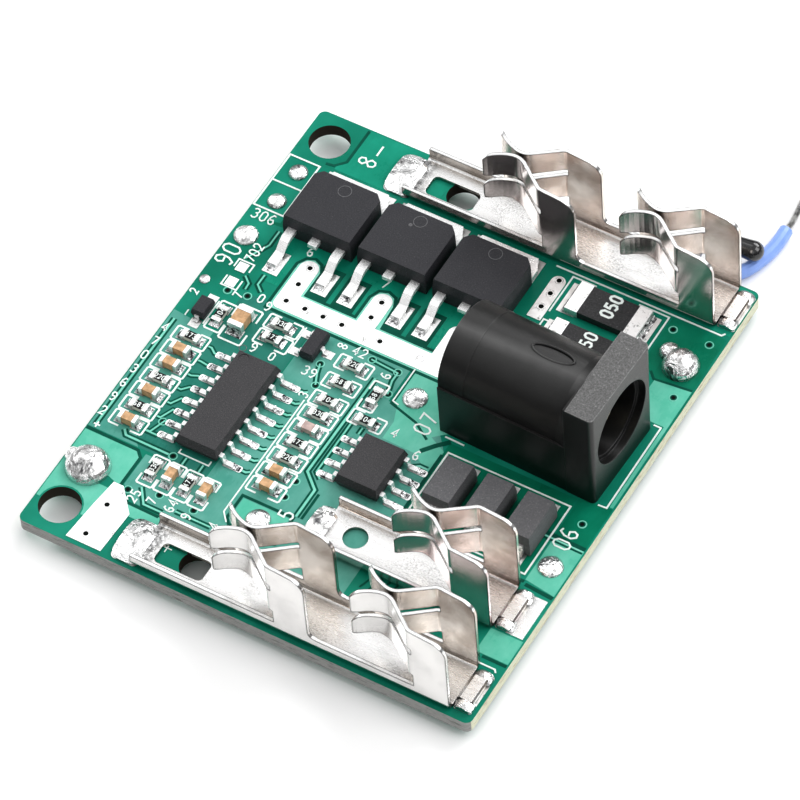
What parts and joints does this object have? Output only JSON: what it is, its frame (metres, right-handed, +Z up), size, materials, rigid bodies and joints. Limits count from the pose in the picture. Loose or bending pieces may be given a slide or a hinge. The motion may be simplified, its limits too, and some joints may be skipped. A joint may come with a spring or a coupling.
{
  "type": "battery management board",
  "caption": "Battery management board with spring-clip terminals, barrel power jack, power transistors, shunts, diodes and a thermistor",
  "frame": {"origin": "centre of the circuit board's underside", "axes": "+X runs along the terminal clips towards the power jack's mouth, +Y from the positive clip to the negative clip, +Z up on the component side"},
  "size_m": [0.041, 0.0587, 0.0128],
  "materials": {
    "bead_epoxy": "black dipped epoxy",
    "capacitor_ceramic": "tan ceramic",
    "end_cap_metal": "tin-plated end caps",
    "ferrite_ceramic": "pinkish grey ceramic",
    "jack_plastic": "moulded black plastic, finely textured on the flange",
    "laminate": "green solder mask over a copper pattern, with white printed outlines",
    "mould_compound": "black moulding compound with a fine grain",
    "nickel_sheet": "bright nickel plate with fine handling scratches",
    "pin_brass": "turned and plated contact pin",
    "resistor_ceramic": "white alumina",
    "resistor_glaze": "black glaze",
    "shunt_coating": "dark protective coating",
    "sleeve_blue": "pale blue insulating sleeve",
    "solder": "lead-free solder, bright and slightly rippled",
    "tinned_copper": "hot-air-levelled tin, slightly wavy",
    "tinned_leads": "matt tin plate",
    "wire_metal": "tinned wire"
  },
  "bodies": {
    "root": {"circuit_board": "laminate", "tinned_pads": "tinned_copper", "positive_terminal_clip": "nickel_sheet", "negative_terminal_clip": "nickel_sheet", "signal_terminal_clip": "nickel_sheet", "clip_solder": "solder", "jack_housing": "jack_plastic", "jack_center_pin": "pin_brass", "jack_pin_lug": "tinned_leads", "jack_sleeve_spring": "tinned_leads", "jack_switch_contact": "tinned_leads", "jack_pin_solder": "solder", "mosfet_body_1": "mould_compound", "mosfet_body_2": "mould_compound", "mosfet_body_3": "mould_compound", "mosfet_tab_1": "tinned_leads", "mosfet_tab_2": "tinned_leads", "mosfet_tab_3": "tinned_leads", "mosfet_leads_1": "tinned_leads", "mosfet_leads_2": "tinned_leads", "mosfet_leads_3": "tinned_leads", "control_chip_body": "mould_compound", "control_chip_leads": "tinned_leads", "switch_chip_body": "mould_compound", "switch_chip_leads": "tinned_leads", "small_transistor_body": "mould_compound", "small_transistor_leads": "tinned_leads", "small_diode_body": "mould_compound", "small_diode_leads": "tinned_leads", "power_diode_body_1": "mould_compound", "power_diode_body_2": "mould_compound", "power_diode_body_3": "mould_compound", "power_diode_leads": "tinned_leads", "shunt_resistor_body_1": "shunt_coating", "shunt_resistor_body_2": "shunt_coating", "shunt_resistor_caps": "end_cap_metal", "chip_resistor_bodies": "resistor_ceramic", "chip_resistor_glaze": "resistor_glaze", "chip_resistor_caps": "end_cap_metal", "chip_capacitor_bodies": "capacitor_ceramic", "chip_capacitor_caps": "end_cap_metal", "large_capacitor_body": "capacitor_ceramic", "large_capacitor_caps": "end_cap_metal", "ferrite_chip_body": "ferrite_ceramic", "ferrite_chip_caps": "end_cap_metal", "component_solder": "solder", "battery_plus_joint": "solder", "battery_minus_joint": "solder", "cell_tap_joints": "solder", "thermistor_joints": "solder", "thermistor_bead": "bead_epoxy", "thermistor_leads": "wire_metal", "thermistor_sleeve": "sleeve_blue"}
  },
  "joints": []
}
